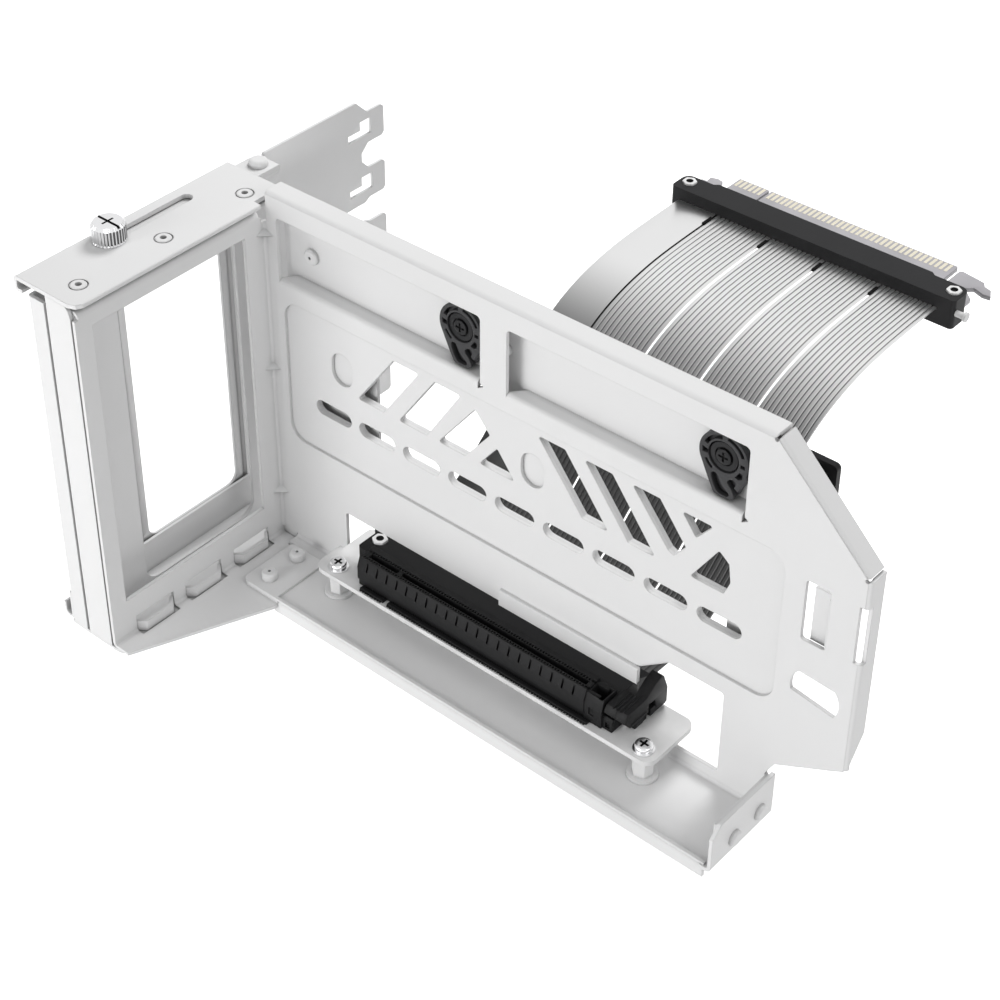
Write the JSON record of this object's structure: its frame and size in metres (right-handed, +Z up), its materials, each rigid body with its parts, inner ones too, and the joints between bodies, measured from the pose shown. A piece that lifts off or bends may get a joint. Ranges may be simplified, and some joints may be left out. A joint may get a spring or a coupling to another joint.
{
  "type": "vertical graphics card bracket with riser cable",
  "caption": "White folded-steel holder that stands a graphics card upright in a computer case, with a sliding carrier and a flat riser cable.",
  "frame": {"origin": "middle of the two case screw holes, on the face of the flange that meets the case", "axes": "+X right along the main panel, +Y back towards the slot tails, +Z up"},
  "size_m": [0.2443, 0.2574, 0.1347],
  "materials": {
    "white_coat": "fine white powder coat",
    "black_plastic": "black moulded plastic",
    "bright_steel": "bright knurled steel",
    "black_steel": "black zinc",
    "white_plastic": "white moulded plastic",
    "white_board": "white solder mask",
    "dark_board": "grey solder mask with dark edges",
    "gold": "pale gold plating",
    "ribbon_smooth": "silver foil jacket",
    "ribbon_ribbed": "silver jacket with fine ribs"
  },
  "bodies": {
    "case_side": {"mounting_plate": "white_coat", "top_rail": "white_coat", "rail_rivet": "white_coat"},
    "carrier": {"bracket_body": "white_coat", "slide_frame": "white_coat", "side_channel": "white_coat", "bottom_plate": "white_coat", "top_plate": "white_coat", "top_plate_rivets": "white_coat", "vent_backing": "white_coat", "back_plate": "white_coat", "back_plate_spacers": "white_coat", "back_plate_rivet": "white_coat", "clip_screws": "black_steel", "cable_retainer": "black_plastic", "shelf_posts": "white_coat", "end_rivets": "white_coat", "standoffs": "white_coat", "riser_board": "white_board", "board_screws": "bright_steel", "slot_housing": "black_plastic", "slot_pin_row": "black_plastic", "latch_pin": "black_plastic", "cable_overmold": "black_plastic", "overmold_nut": "white_plastic", "plug_overmold": "black_plastic", "plug_nuts": "white_plastic", "plug_board": "dark_board", "plug_fingers": "gold", "plug_lug": "white_plastic", "ribbon_1": "ribbon_smooth", "ribbon_2": "ribbon_ribbed", "ribbon_3": "ribbon_ribbed", "ribbon_4": "ribbon_ribbed", "ribbon_5": "ribbon_ribbed"},
    "thumb": {"thumb_screw": "bright_steel"},
    "clip_left": {"left_clip": "black_plastic"},
    "clip_right": {"right_clip": "black_plastic"},
    "latch": {"slot_latch": "black_plastic"}
  },
  "joints": [
    {"name": "carrier_slide", "type": "slide", "parent": "case_side", "child": "carrier", "axis": [0, -1, 0], "range_m": [0, 0.028]},
    {"name": "thumb_turn", "type": "hinge", "parent": "case_side", "child": "thumb", "pos_m": [0.0082, 0.005, 0.05835], "axis": [0, 0, 1], "continuous": true},
    {"name": "left_clip_turn", "type": "hinge", "parent": "carrier", "child": "clip_left", "pos_m": [0.1022, 0.0514, 0.04995], "axis": [0, 1, 0], "range_deg": [0, 90]},
    {"name": "right_clip_turn", "type": "hinge", "parent": "carrier", "child": "clip_right", "pos_m": [0.1915, 0.0514, 0.04995], "axis": [0, 1, 0], "range_deg": [0, 90]},
    {"name": "latch_tilt", "type": "hinge", "parent": "carrier", "child": "latch", "pos_m": [0.1736, 0.048, -0.04945], "axis": [0, 1, 0], "range_deg": [0, 25]}
  ]
}
